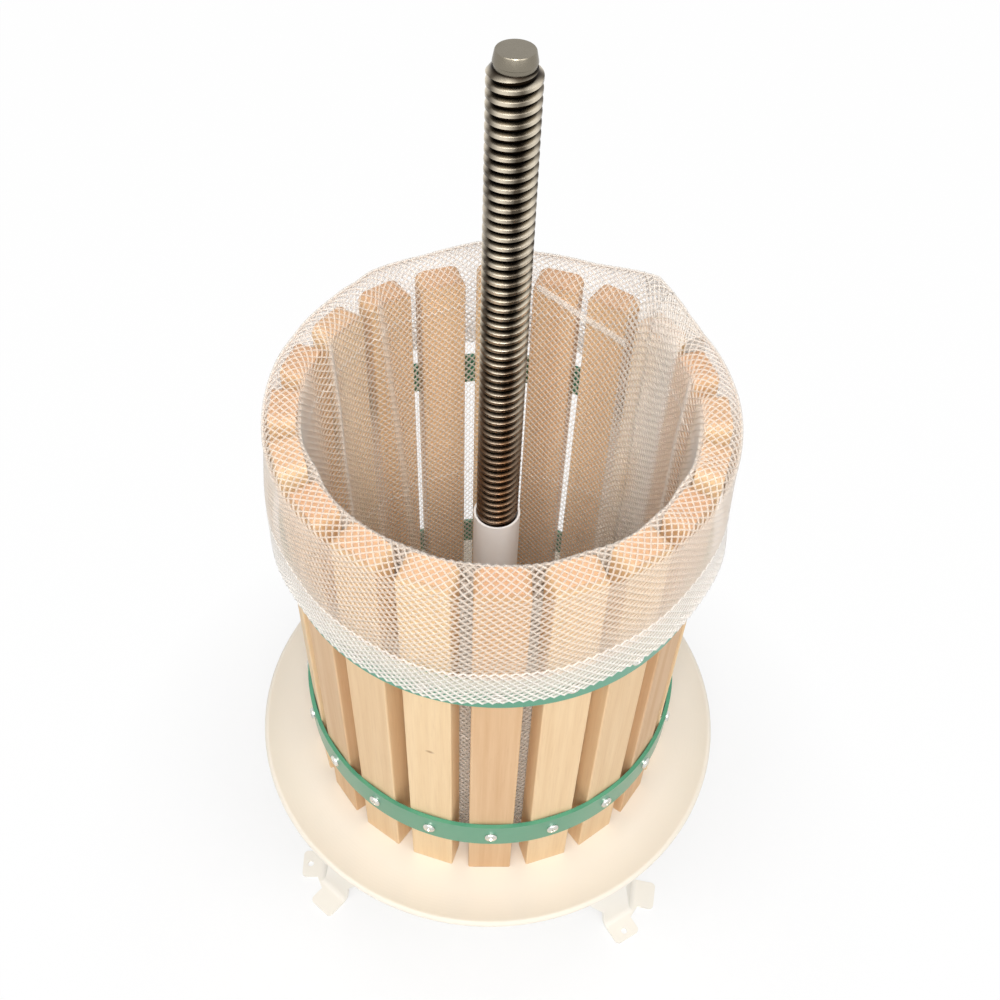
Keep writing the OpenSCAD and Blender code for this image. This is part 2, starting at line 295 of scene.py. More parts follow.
def coat_group():
    """A sprayed coat: a fine ripple for its height and slow clouds for its tone."""
    sizes = {"Ripple": 700.0, "Cloud": 14.0}
    tree, source, result = new_group("sprayed_coat", sizes, ("Height", "Tone"))
    ripple = object_noise(tree, (1, 1, 1), source.outputs["Ripple"], 1.0)
    cloud = object_noise(tree, (1, 1, 1), source.outputs["Cloud"], 3.0)
    tree.links.new(ripple, result.inputs["Height"])
    tree.links.new(cloud, result.inputs["Tone"])
    return tree


def metal_group():
    """Worked metal: fine scratches and slow stains."""
    sizes = {"Scratch": 900.0, "Stain": 60.0}
    tree, source, result = new_group("worked_metal", sizes, ("Scratch", "Stain"))
    scratch = object_noise(tree, (1, 1, 6), source.outputs["Scratch"], 2.0)
    stain = object_noise(tree, (1, 1, 1), source.outputs["Stain"], 4.0, 0.65)
    tree.links.new(scratch, result.inputs["Scratch"])
    tree.links.new(stain, result.inputs["Stain"])
    return tree


COAT = coat_group()
METAL = metal_group()


def bump(tree, height, strength, distance):
    """A normal raised by a height."""
    inputs = {"Height": height, "Strength": strength, "Distance": distance}
    return add(tree, "ShaderNodeBump", inputs).outputs["Normal"]


def coated(name, light, dark, roughness, ripple, depth):
    """A sprayed and baked coat on sheet steel."""
    material, tree = finish(name)
    coat = add(tree, "ShaderNodeGroup", node_tree=COAT)
    coat.inputs["Ripple"].default_value = ripple
    tone = ranged(tree, coat.outputs["Tone"], 0.2, 0.8, 0.0, 1.0)
    set_shader(
        tree,
        Base_Color=blend_colour(tree, tone, dark, light),
        Roughness=ranged(tree, coat.outputs["Tone"], 0.2, 0.8, roughness + 0.03, roughness - 0.03),
        Normal=bump(tree, coat.outputs["Height"], 0.25, depth),
        Coat_Weight=0.35,
        Coat_Roughness=0.12,
    )
    return material


def zinc_plate():
    """Bright zinc on the screws, the washer and the nut."""
    material, tree = finish("zinc_plate")
    marks = add(tree, "ShaderNodeGroup", node_tree=METAL)
    stain = ranged(tree, marks.outputs["Stain"], 0.35, 0.65, 0.0, 1.0)
    set_shader(
        tree,
        Base_Color=blend_colour(tree, stain, paint(196, 196, 190), paint(232, 230, 222)),
        Metallic=1.0,
        Roughness=ranged(tree, marks.outputs["Scratch"], 0.3, 0.7, 0.16, 0.30),
    )
    return material


def from_axis(tree, place):
    """How far a point is from the press's upright axis."""
    flat = add(tree, "ShaderNodeVectorMath", {0: place, 1: (1, 1, 0)}, operation="MULTIPLY").outputs[0]
    return add(tree, "ShaderNodeVectorMath", {0: flat}, operation="LENGTH").outputs["Value"]


def spindle_steel():
    """Rolled steel: painted reflection in light and dark stripes round the crests over slow stains,
    painted shade deep in the thread's grooves, darker towards the thread's lower end, and a plain turned
    nose.
    """
    material, tree = finish("spindle_steel")
    marks = add(tree, "ShaderNodeGroup", node_tree=METAL)
    place = object_place(tree)
    radius = from_axis(tree, place)
    axes = add(tree, "ShaderNodeSeparateXYZ", {0: place}).outputs
    height = axes["Z"]
    around = math_node(tree, "ARCTAN2", axes["X"], math_node(tree, "MULTIPLY", axes["Y"], -1.0))
    # Painted reflection: stripes of light and dark round the spindle stand for lamps and room mirrored in
    # the crests
    stripes = math_node(tree, "MULTIPLY_ADD", around, REFLECTION_STRIPES, STRIPE_TURN)
    stripes = math_node(tree, "COSINE", stripes)
    reflection_and_stain = math_node(tree, "MULTIPLY_ADD", stripes, STRIPE_DEPTH, marks.outputs["Stain"])
    nose = math_node(tree, "GREATER_THAN", height, SPINDLE_TOP - NOSE_H - NECK_H)
    # Painted shade: near black deep in the thread's grooves, but not on the nose
    unshaded = ranged(tree, radius, THREAD_R - 0.9 * THREAD_DEPTH, THREAD_R - 0.1 * MM, 0.0, 1.0)
    unshaded = math_node(tree, "MAXIMUM", unshaded, nose)
    steel_tone = blend_colour(tree, reflection_and_stain, paint(80, 72, 61), paint(226, 214, 193))
    # Darker and browner towards the lower end of the thread
    lower_darkening = ranged(tree, height, SLEEVE_TOP + LOW_DARK_L / 3, SLEEVE_TOP + LOW_DARK_L, LOW_DARK_DEPTH, 0.0)
    steel_tone = blend_colour(tree, lower_darkening, steel_tone, paint(93, 65, 42))
    turned = blend_colour(tree, marks.outputs["Stain"], paint(122, 115, 102), paint(146, 139, 125))
    steel_tone = blend_colour(tree, nose, steel_tone, turned)
    set_shader(
        tree,
        Base_Color=blend_colour(tree, unshaded, paint(34, 25, 17), steel_tone),
        Metallic=1.0,
        Roughness=ranged(tree, marks.outputs["Scratch"], 0.3, 0.7, 0.22, 0.36),
    )
    return material


def knot_mask(tree, place):
    """A small knot in one front stave, as a soft mask."""
    angle = math.radians(KNOT_ANGLE)
    radius = widest(STAVES[0])
    middle = (radius * math.sin(angle), -radius * math.cos(angle), KNOT_Z)
    away = add(tree, "ShaderNodeVectorMath", {0: place, 1: middle}, operation="SUBTRACT").outputs[0]
    sized = add(tree, "ShaderNodeVectorMath", {0: away, 1: KNOT_SHAPE}, operation="MULTIPLY").outputs[0]
    length = add(tree, "ShaderNodeVectorMath", {0: sized}, operation="LENGTH").outputs["Value"]
    return ranged(tree, length, 0.3, 1.0, KNOT_DEPTH, 0.0)


def beech():
    """Planed beech: a tone for each stave, streaks along it, short dark rays, and darker end grain with
    painted shade of the net over the top few millimetres of every face.
    """
    material, tree = finish("planed_beech")
    place = object_place(tree)
    circle = add(tree, "ShaderNodeTexGradient", {"Vector": place}, gradient_type="RADIAL")
    count = len(STAVES)
    first = (angle_of(STAVES[0]) / TURN + 0.25) * count
    index = math_node(tree, "MULTIPLY_ADD", circle.outputs["Fac"], count, 0.5 - first)
    index = math_node(tree, "FLOOR", index)
    own = add(tree, "ShaderNodeTexWhiteNoise", {"W": index}, noise_dimensions="1D")
    moved = add(tree, "ShaderNodeVectorMath", {0: own.outputs["Color"], 1: place}, operation="ADD")
    shift = moved.outputs[0]
    streak = object_noise(tree, (1, 1, 0.035), 170.0, 3.0, 0.55, shift)
    fibre = object_noise(tree, (1, 1, 0.03), 1100.0, 2.0, 0.6, shift)
    ray = object_noise(tree, (1, 1, 0.16), 620.0, 1.0, 0.4, shift)
    wave = math_node(tree, "COSINE", math_node(tree, "MULTIPLY_ADD", index, TONE_STEP, TONE_START))
    wave = math_node(tree, "MULTIPLY_ADD", own.outputs["Value"], 0.5, wave)
    rosy = ranged(tree, wave, -0.8, 1.2, 0.0, 1.0)
    tone = math_node(tree, "MULTIPLY_ADD", rosy, 0.65, -0.1)
    tone = math_node(tree, "ADD", tone, ranged(tree, streak, 0.3, 0.7, 0.0, 0.45))
    pale = blend_colour(tree, rosy, paint(242, 212, 168), paint(239, 206, 164))
    deep = blend_colour(tree, rosy, paint(225, 187, 140), paint(214, 172, 128))
    wood = blend_colour(tree, tone, pale, deep)
    wood = blend_colour(tree, ranged(tree, fibre, 0.45, 0.75, 0.0, 0.14), wood, paint(190, 140, 92))
    wood = blend_colour(tree, ranged(tree, ray, 0.66, 0.78, 0.0, 0.07), wood, paint(172, 118, 74))
    wood = blend_colour(tree, knot_mask(tree, place), wood, paint(150, 100, 52))
    # Darker end grain, and painted shade of the net's fold over the top few millimetres of every face
    height = add(tree, "ShaderNodeSeparateXYZ", {0: place}).outputs["Z"]
    end_grain_and_net_shade = ranged(tree, height, STAVE_TOP - END_GRAIN_AND_SHADE_H, STAVE_TOP, 0.0, END_GRAIN_AND_SHADE_DEPTH)
    wood = blend_colour(tree, end_grain_and_net_shade, wood, paint(209, 163, 130))
    set_shader(
        tree,
        Base_Color=wood,
        Roughness=ranged(tree, streak, 0.3, 0.7, 0.50, 0.62),
        Normal=bump(tree, fibre, 0.25, 0.15 * MM),
    )
    return material


def sleeve_plastic():
    """The pale plastic tube round the spindle's foot."""
    material, tree = finish("sleeve_plastic")
    cloud = ranged(tree, object_noise(tree, (1, 1, 0.2), 90.0, 3.0), 0.3, 0.7, 0.0, 1.0)
    tone = blend_colour(tree, cloud, paint(243, 237, 232), paint(249, 245, 241))
    set_shader(tree, Base_Color=tone, Roughness=0.42)
    return material


def yarn(name, light, dark, cover):
    """White knitted yarn, thin enough to let some light and colour through."""
    material, tree = finish(name)
    twist = object_noise(tree, (1, 1, 1), 1500.0, 2.0)
    cloud = object_noise(tree, (1, 1, 1), 25.0, 2.0)
    tone = blend_colour(tree, cloud, dark, light)
    in_shadow = add(tree, "ShaderNodeLightPath").outputs["Is Shadow Ray"]
    inside = add(tree, "ShaderNodeNewGeometry").outputs["Backfacing"]
    place = object_place(tree)
    shade = ranged(tree, from_axis(tree, place), LINER_R, LINER_R + SHADE_STEP, LINER_SHADE, SKIRT_SHADE)
    cover = ranged(tree, in_shadow, 0.0, 1.0, cover, shade)
    fleck = ranged(tree, twist, 0.35, 0.65, 0.0, FLECK_DEPTH)
    set_shader(
        tree,
        Base_Color=blend_colour(tree, fleck, tone, paint(232, 218, 204)),
        Roughness=0.6,
        Specular_IOR_Level=0.25,
        Sheen_Weight=0.5,
        Alpha=math_node(tree, "MULTIPLY", cover, math_node(tree, "SUBTRACT", 1.0, inside)),
    )
    return material


# Pieces
def finished(bm, name, material, body):
    """Makes an object of a bmesh, shaded smooth, riding on a body."""
    mesh = bpy.data.meshes.new(name)
    bm.to_mesh(mesh)
    bm.free()
    mesh.shade_smooth()
    piece = bpy.data.objects.new(name, mesh)
    bpy.context.scene.collection.objects.link(piece)
    mesh.materials.append(material)
    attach(piece, body)
    return piece


def chain(bm, points):
    """A chain of edges through points given as radius and height, in the plane of the X axis."""
    corners = [bm.verts.new((radius, 0, height)) for radius, height in points]
    edges = [bm.edges.new(pair) for pair in zip(corners, corners[1:])]
    return corners + edges


def revolve(bm, points, steps):
    """Turns a profile of radii and heights once round the spindle's axis."""
    start = len(bm.verts)
    bmesh.ops.spin(
        bm, geom=chain(bm, points), cent=(0, 0, 0), axis=(0, 0, 1), angle=TURN, steps=steps, use_merge=True
    )
    bm.verts.ensure_lookup_table()
    bmesh.ops.remove_doubles(bm, verts=bm.verts[start:], dist=JOIN)


def spindle_thread(bm, low, high):
    """A right-hand thread between two heights, closed at both ends and run out at the top."""
    root = THREAD_R - THREAD_DEPTH
    flank = (1 - CREST_SHARE - ROOT_SHARE) / 2
    shares = (
        (root, 0),
        (root, ROOT_SHARE),
        (THREAD_R - CREST_ROUND, ROOT_SHARE + flank),
        (THREAD_R, ROOT_SHARE + flank + CREST_EDGE),
        (THREAD_R, 1 - flank - CREST_EDGE),
        (THREAD_R - CREST_ROUND, 1 - flank),
        (root, 1),
    )
    start = low - 2 * THREAD_PITCH
    profile = [(radius, start + share * THREAD_PITCH) for radius, share in shares]
    bmesh.ops.spin(
        bm,
        geom=chain(bm, profile),
        cent=(0, 0, 0),
        axis=(0, 0, 1),
        dvec=(0, 0, THREAD_PITCH / TURN_STEPS),
        angle=TURN,
        steps=TURN_STEPS,
    )
    turns = 1
    while start + (turns - 1) * THREAD_PITCH < high:
        copied = bmesh.ops.duplicate(bm, geom=bm.verts[:] + bm.edges[:] + bm.faces[:])["geom"]
        copied = [g for g in copied if isinstance(g, bmesh.types.BMVert)]
        bmesh.ops.translate(bm, verts=copied, vec=(0, 0, turns * THREAD_PITCH))
        turns *= 2
    bmesh.ops.remove_doubles(bm, verts=bm.verts[:], dist=2 * JOIN)
    for height, side in ((low, -1), (high, 1)):
        geom = bm.verts[:] + bm.edges[:] + bm.faces[:]
        bmesh.ops.bisect_plane(
            bm, geom=geom, plane_co=(0, 0, height), plane_no=(0, 0, side), clear_outer=True
        )
        open_edges = [e for e in bm.edges if e.is_boundary]
        rim = [e for e in open_edges if all(abs(v.co.z - height) < JOIN for v in e.verts)]
        bmesh.ops.edgeloop_fill(bm, edges=rim)
    for v in bm.verts:
        radius = math.hypot(v.co.x, v.co.y)
        limit = NOSE_FOOT_R + max(high - v.co.z, 0) * RUNOUT_SLOPE
        if radius > limit:
            v.co.x *= limit / radius
            v.co.y *= limit / radius


def spindle(material):
    """The threaded spindle, with its turned nose, plain shank, shoulder and tail."""
    bm = bmesh.new()
    thread_low = SLEEVE_TOP + THREAD_GAP
    thread_high = SPINDLE_TOP - NOSE_H - NECK_H
    spindle_thread(bm, thread_low, thread_high)
    nose_foot = SPINDLE_TOP - NOSE_H
    revolve(
        bm,
        (
            (0, thread_high - NECK_STEP),
            (NOSE_FOOT_R - NECK_STEP, thread_high - NECK_STEP),
            (NOSE_FOOT_R - NECK_STEP, nose_foot - NOSE_CHAMFER),
            (NOSE_FOOT_R, nose_foot),
            (NOSE_TOP_R + NOSE_EDGE, SPINDLE_TOP - NOSE_CHAMFER),
            (NOSE_TOP_R - 0.5 * NOSE_CHAMFER, SPINDLE_TOP),
            (0, SPINDLE_TOP),
        ),
        TURN_STEPS,
    )
    revolve(
        bm,
        (
            (0, SPINDLE_FOOT),
            (TAIL_R - TAIL_CHAMFER, SPINDLE_FOOT),
            (TAIL_R, SPINDLE_FOOT + TAIL_CHAMFER),
            (TAIL_R, TRAY_FLOOR_Z),
            (SHANK_R, TRAY_FLOOR_Z),
            (SHANK_R, thread_low + SHANK_LAP),
            (0, thread_low + SHANK_LAP),
        ),
        TURN_STEPS,
    )
    bmesh.ops.recalc_face_normals(bm, faces=bm.faces[:])
    piece = finished(bm, "threaded_spindle", material, "base")
    piece.data.set_sharp_from_angle(angle=SPINDLE_SHARP)
    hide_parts("spindle")


def screw(bm):
    """A pan-head screw with a cross recess, its axis up and the underside of its head at zero."""
    start = len(bm.verts)
    tip, half = CROSS_REACH, CROSS_HALF
    arm = ((half, half), (tip, half), (tip, 0), (tip, -half))
    quarter = [Matrix.Rotation(TURN * k / 4, 2) for k in range(4)]
    outline = [turn @ Vector(point) for turn in quarter[::-1] for point in arm]
    cross = [bm.verts.new((*point, HEAD_H)) for point in outline]
    floor = bm.faces.new(cross)
    ring = bmesh.ops.create_circle(bm, cap_ends=False, segments=len(cross), radius=FACE_R)["verts"]
    first = math.atan2(outline[0].y, outline[0].x)
    bmesh.ops.rotate(bm, verts=ring, cent=(0, 0, 0), matrix=Matrix.Rotation(first, 3, "Z"))
    bmesh.ops.translate(bm, verts=ring, vec=(0, 0, HEAD_H))
    ring_edges = list({e for v in ring for e in v.link_edges})
    bmesh.ops.bridge_loops(bm, edges=list(floor.edges) + ring_edges)
    bmesh.ops.translate(bm, verts=cross, vec=(0, 0, -CROSS_DEPTH * RECESS_LIP))
    sunk = bmesh.ops.extrude_discrete_faces(bm, faces=[floor])["faces"][0]
    bmesh.ops.translate(bm, verts=sunk.verts, vec=(0, 0, -CROSS_DEPTH))
    bmesh.ops.scale(bm, verts=sunk.verts, vec=(RECESS_TAPER, RECESS_TAPER, 1))
    edge = ring_edges
    radius = FACE_R
    for share, drop in HEAD_PROFILE:
        edge = walk_out(bm, edge, HEAD_R * share / radius, HEAD_H * (1 - drop))
        radius = HEAD_R * share
    edge = walk_out(bm, edge, 1.0, -SCREW_L * POINT_START)
    edge = walk_out(bm, edge, POINT_SIZE, -SCREW_L)
    bmesh.ops.edgeloop_fill(bm, edges=edge)
    bm.verts.ensure_lookup_table()
    return bm.verts[start:]


def walk_out(bm, edges, scale, height):
    """Extrudes a ring of edges to a new size and height, and gives the new ring."""
    made = bmesh.ops.extrude_edge_only(bm, edges=edges)["geom"]
    verts = [g for g in made if isinstance(g, bmesh.types.BMVert)]
    bmesh.ops.scale(bm, verts=verts, vec=(scale, scale, 1))
    bmesh.ops.translate(bm, verts=verts, vec=(0, 0, height - verts[0].co.z))
    return [g for g in made if isinstance(g, bmesh.types.BMEdge)]


def hoop_screws(hoop, material):
    """A screw through a hoop into each stave."""
    bm = bmesh.new()
    low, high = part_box(hoop)
    seat = Vector((0, -widest(hoop), (low.z + high.z) / 2))
    outwards = Matrix.Rotation(math.radians(90), 4, "X")
    for count, stave in enumerate(STAVES):
        verts = screw(bm)
        spun = Matrix.Rotation(SCREW_SPIN * count, 4, "Z")
        turned = Matrix.Rotation(angle_of(stave), 4, "Z")
        bmesh.ops.transform(bm, matrix=turned @ Matrix.Translation(seat) @ outwards @ spun, verts=verts)
    bmesh.ops.recalc_face_normals(bm, faces=bm.faces[:])
    piece = finished(bm, f"{hoop}_screw_heads", material, "basket")
    piece.data.set_sharp_from_angle(angle=SCREW_SHARP)
    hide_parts(f"{hoop}_screws")


# Net bag
def ease(share):
    """A smooth step from 0 to 1."""
    share = np.clip(share, 0, 1)
    return share * share * (3 - 2 * share)


def apart(angle, middle):
    """The signed angle from a middle, within half a turn."""
    return (angle - middle + math.pi) % TURN - math.pi


def swell(angle, middle, spread):
    """A rounded hump round a middle, all in degrees but the angle."""
    return np.exp(-0.5 * (apart(angle, math.radians(middle)) / math.radians(spread)) ** 2)


# Loose folds inside: angle at top and foot, depth, half width, and share of the depth kept at the top
INSIDE_FOLDS = (
    (-134, -146, 5.0, 3.5, 1.0),
    (-109, -112, 6.0, 5.0, 0.9),
    (-62, -58, 5.0, 8.0, 0.3),
    (-22, -18, 5.0, 8.0, 0.2),
    (24, 18, 5.0, 8.0, 0.2),
    (60, 62, 5.0, 7.0, 0.3),
    (100, 103, 4.0, 4.5, 0.8),
)
# How far the top fold stands up from the staves: angle and rise, in turn round the rim
TOP_RISE = (
    (-172, 19.0),
    (-155, 13.0),
    (-139, 15.5),
    (-126, 9.5),
    (-100, 8.0),
    (-82, 3.0),
    (-55, 0.5),
    (40, 0.5),
    (47, 4.5),
    (54, 1.0),
    (60, 2.0),
    (66, 7.0),
    (73, 3.5),
    (90, 8.0),
    (117, 9.5),
    (125, 19.0),
    (134, 26.0),
    (155, 13.0),
    (172, 11.5),
)
# Where the skirt's hem stands out: angle, reach and spread
SKIRT_SWELLS = ((60, 2.8, 24), (-72, 0.8, 22), (150, 3, 20), (-150, 3, 20))
# Where the fold's outer side is loose: angle, reach and spread
FOLD_SWELLS = ((95, 2.0, 28),)
# Where the hem hangs lower: angle, drop and spread
HEM_SWELLS = ((-5, 18, 26), (-65, 7, 28), (34, 4.5, 14))
# The ends of a crease across the liner's back: angle and height
CREASE = ((138, 459.5), (170.5, 479.2))

FOLD_SIDE_Z = STAVE_TOP - FOLD_SIDE_DROP
WALL_FOOT_Z = BAG_FLOOR + FLOOR_LIFT


def stand_in(angle, height):
    """How far the liner stands in from the staves."""
    share = (height - WALL_FOOT_Z) / (FOLD_SIDE_Z - WALL_FOOT_Z)
    reach = 0.0 * angle
    for top, foot, depth, width, kept in INSIDE_FOLDS:
        middle = math.radians(foot + (top - foot) * share)
        arc = apart(angle, middle) * LINER_R
        grown = FOOT_DEPTH + (1 - FOOT_DEPTH) * ease(share / FOLDS_GROW)
        held = grown * (kept + (1 - kept) * ease((1 - share) / FOLDS_FADE))
        reach = reach + depth * MM * held * np.exp(-0.5 * (arc / (width * MM)) ** 2)
    ripple = 0.5 + 0.5 * np.sin(9 * angle + 11 * share) * np.sin(4 * angle - 7 * share)
    return reach + LINER_RIPPLE * ripple


def ring(angles, radius, height):
    """Points at the given angles and radii, all at one height."""
    return np.stack([radius * np.sin(angles), -radius * np.cos(angles), 0 * angles + height], axis=1)


def liner_ring(angles, height):
    """Points on the liner at a height."""
    corner = max(BASE_CORNER_R - (height - WALL_FOOT_Z), 0)
    drawn_in = BASE_CORNER_R - math.sqrt(max(BASE_CORNER_R**2 - corner**2, 0))
    return ring(angles, LINER_R - drawn_in - stand_in(angles, height), height)


def skirt_ring(angles, share):
    """Points on the skirt at a share of the way from fold to hem; the net hangs a little askew."""
    length = HEM_L
    for middle, lower, spread in HEM_SWELLS:
        length = length + lower * MM * swell(angles, middle, spread)
    drop = share * length
    angles = angles - SKIRT_TWIST * drop / SKIRT_R
    hung = ease(drop / HUNG_L)
    flared = ease((drop - HUNG_L) / (length - HUNG_L))
    radius = FOLD_R + (SKIRT_R - FOLD_R) * hung
    for middle, reach, spread in FOLD_SWELLS:
        radius = radius + reach * MM * swell(angles, middle, spread) * (1 - hung)
    for middle, reach, spread in SKIRT_SWELLS:
        radius = radius + reach * MM * swell(angles, middle, spread) * flared
    ripple = SKIRT_RIPPLE * hung * (1 + np.sin(13 * angles - 30 * drop))
    return ring(angles, radius + ripple, FOLD_SIDE_Z - drop)


def fold_over(angles, step):
    """Points where the net goes over the staves, from the liner at step 0 to the skirt at step 1."""
    across = 0.5 - 0.5 * math.cos(math.pi * step)
    inner, outer = liner_ring(angles, FOLD_SIDE_Z), skirt_ring(angles, 0)
    points = inner + (outer - inner) * across
    turned, rises = np.array(TOP_RISE).T
    lift = np.interp(np.degrees(angles), turned, rises, period=360) * MM
    power = FLAT_FOLD - TENT_SHARPER * np.clip(lift / TENT_RISE, 0, 1)
    arch = (1 - abs(2 * across - 1) ** power) ** (1 / power)
    points[:, 2] += (FOLD_SIDE_DROP + FOLD_RISE + lift) * arch
    return points


def cell_height(radius):
    """The height of a cell where the net stands at a radius: its strands keep their length."""
    half_width = TURN / 2 * radius / CELLS_ROUND
    return 2 * np.sqrt(STRAND_L**2 - np.minimum(half_width, WIDEST_CELL * STRAND_L) ** 2)


def net_fabric():
    """The bag's wall in columns half a cell apart: up the liner, over the staves, down the skirt."""
    angles = SEAM_ANGLE + TURN * np.arange(2 * CELLS_ROUND) / (2 * CELLS_ROUND)
    corner = np.linspace(0, BASE_CORNER_R, CORNER_RINGS)[:-1]
    wall = np.linspace(BASE_CORNER_R, FOLD_SIDE_Z - WALL_FOOT_Z, WALL_RINGS)
    rings = [liner_ring(angles, WALL_FOOT_Z + rise) for rise in np.concatenate([corner, wall])]
    rings += [fold_over(angles, step) for step in np.linspace(0, 1, FOLD_RINGS)[1:-1]]
    rings += [skirt_ring(angles, share) for share in np.linspace(0, 1, FOLD_RINGS)]
    lines = np.stack(rings, axis=1)
    steps = np.linalg.norm(np.diff(lines, axis=1), axis=2)
    middles = (lines[:, 1:] + lines[:, :-1]) / 2
    cells = steps / cell_height(np.hypot(middles[..., 0], middles[..., 1]))
    along = np.concatenate([np.zeros((len(lines), 1)), np.cumsum(cells, axis=1)], axis=1)
    front = np.argmin(np.abs(apart(angles, 0)))
    shares = np.linspace(0, 1, 2 * round(along[front, -1]) + 1)
    columns = []
    for line, count in zip(lines, along):
        places = [np.interp(shares * count[-1], count, line[:, axis]) for axis in range(3)]
        columns.append(np.stack(places, axis=1))
    return np.stack(columns)


def unit_net(columns, rows):
    """A flat net of diamond cells, one unit square wide and high, and its cells' corners."""
    bm = bmesh.new()
    bmesh.ops.create_grid(bm, x_segments=columns, y_segments=rows, size=0.5)
    bmesh.ops.translate(bm, verts=bm.verts[:], vec=(0.5, 0.5, 0))
    squares = bm.edges[:]
    bmesh.ops.poke(bm, faces=bm.faces[:])
    return bm, squares


def diamonds(bm, squares):
    """Takes the squares out of a poked grid, so that only whole diamonds are left."""
    bmesh.ops.dissolve_edges(bm, edges=[e for e in squares if e.is_valid and not e.is_boundary])
    bmesh.ops.delete(bm, geom=[f for f in bm.faces if len(f.verts) < 4], context="FACES")


def join_round(bm, rows):
    """Welds the right side of a net to its left, row by row."""
    left = {round(v.co.y * 2 * rows): v for v in bm.verts if v.co.x < NET_EDGE}
    right = [v for v in bm.verts if v.co.x > 1 - NET_EDGE]
    bmesh.ops.weld_verts(bm, targetmap={v: left[round(v.co.y * 2 * rows)] for v in right})


def net_piece(name, material, fabric, first, last):
    """The bag's wall between two rows of cells, as a net of strands."""
    columns = len(fabric) // 2
    start = max(first - 1, 0)
    rows = last - start
    bm, squares = unit_net(columns, rows)
    join_round(bm, rows)
    diamonds(bm, squares)
    below = [f for f in bm.faces if f.calc_center_median().y * rows < first - start - 0.25]
    bmesh.ops.delete(bm, geom=below, context="FACES")
    for v in bm.verts:
        column = round(v.co.x * 2 * columns) % (2 * columns)
        v.co = fabric[column, round(v.co.y * 2 * rows) + 2 * start]
    return strands(bm, name, material)


def strands(bm, name, material, width=STRAND):
    """Turns the edges of a sheet of cells into strands of a width."""
    bmesh.ops.recalc_face_normals(bm, faces=bm.faces[:])
    piece = finished(bm, name, material, "bag")
    wire = piece.modifiers.new("strands", "WIREFRAME")
    wire.thickness = width
    wire.use_even_offset = False
    wire.use_boundary = True
    return piece


def on_fabric(fabric, column, row, off):
    """A point on the bag's wall at half-cell numbers, moved off it along its normal."""
    count, rows = len(fabric), fabric.shape[1]
    row = min(max(row, 0), rows - 1.001)
    i, k = math.floor(column), math.floor(row)
    a, b = column - i, row - k
    corners = [[fabric[(i + p) % count, k + q] for q in (0, 1)] for p in (0, 1)]
    left = (1 - b) * corners[0][0] + b * corners[0][1]
    right = (1 - b) * corners[1][0] + b * corners[1][1]
    point = (1 - a) * left + a * right
    across = corners[1][0] + corners[1][1] - corners[0][0] - corners[0][1]
    up = corners[0][1] + corners[1][1] - corners[0][0] - corners[1][0]
    normal = np.cross(up, across)
    return point + normal / max(np.linalg.norm(normal), 1e-9) * off


def second_layer(
    name, material, fabric, columns, rows, cells, off, closed=False, slope=0.0, width=LAYER_STRAND
):
    """A further layer of net on part of the wall, between half-cell columns and rows that may slope."""
    bm, squares = unit_net(*cells)
    if closed:
        join_round(bm, cells[1])
    diamonds(bm, squares)
    for v in bm.verts:
        column = columns[0] + (columns[1] - columns[0]) * v.co.x
        row = rows[0] + (rows[1] - rows[0]) * v.co.y + slope * v.co.x
        v.co = on_fabric(fabric, column, row, off)
    return strands(bm, name, material, width)


def bag_crease(material, fabric):
    """A narrow doubled crease that runs slantwise across the back of the liner."""
    ends = []
    for angle, height in CREASE:
        column = (math.radians(angle) - SEAM_ANGLE) / TURN * len(fabric)
        heights = fabric[round(column), :, 2]
        top = heights.argmax()
        ends.append((column, np.interp(height * MM, heights[:top], np.arange(top))))
    (start, low), (end, high) = ends
    return second_layer(
        "bag_crease",
        material,
        fabric,
        columns=(start, end),
        rows=(low - CREASE_HALF, low + CREASE_HALF),
        cells=(round(end - start), 2),
        off=-LAYER_GAP,
        slope=high - low,
        width=CREASE_STRAND,
    )


def bag_floor(material):
    """The round net sewn in at the bottom, with a hole for the spindle's sleeve."""
    edge = LINER_R - BASE_CORNER_R
    count = math.ceil(2 * edge / CELL)
    bm, squares = unit_net(count, count)
    diamonds(bm, squares)
    bmesh.ops.translate(bm, verts=bm.verts[:], vec=(-0.5, -0.5, 0))
    bmesh.ops.scale(bm, verts=bm.verts[:], vec=(count * CELL, count * CELL, 1))
    outside = [f for f in bm.faces if not HOLE_R < f.calc_center_median().length < edge]
    bmesh.ops.delete(bm, geom=outside, context="FACES")
    bmesh.ops.translate(bm, verts=bm.verts[:], vec=(0, 0, WALL_FOOT_Z))
    return strands(bm, "bag_floor", material), edge


def binding(name, material, radius, height):
    """A sewn binding: a round cord with shallow stitches pressed into it."""
    bm = bmesh.new()
    ring = bmesh.ops.create_circle(bm, cap_ends=False, segments=BINDING_SIDES, radius=BINDING_R)["verts"]
    bmesh.ops.rotate(bm, verts=ring, cent=(0, 0, 0), matrix=Matrix.Rotation(math.radians(90), 3, "X"))
    bmesh.ops.translate(bm, verts=ring, vec=(radius, 0, height))
    steps = 2 * round(TURN * radius / STITCH)
    geom = ring + list({e for v in ring for e in v.link_edges})
    bmesh.ops.spin(bm, geom=geom, cent=(0, 0, 0), axis=(0, 0, 1), angle=TURN, steps=steps, use_merge=True)
    bmesh.ops.remove_doubles(bm, verts=bm.verts[:], dist=JOIN)
    centre = Vector((0, 0, height))
    for v in bm.verts:
        flat = Vector((v.co.x, v.co.y, 0)).normalized() * radius + centre
        stitch = round(math.atan2(v.co.y, v.co.x) / TURN * steps) % 2
        v.co = flat + (v.co - flat) * (STITCH_PRESS if stitch else 1.0)
    bmesh.ops.recalc_face_normals(bm, faces=bm.faces[:])
    return finished(bm, name, material, "bag")


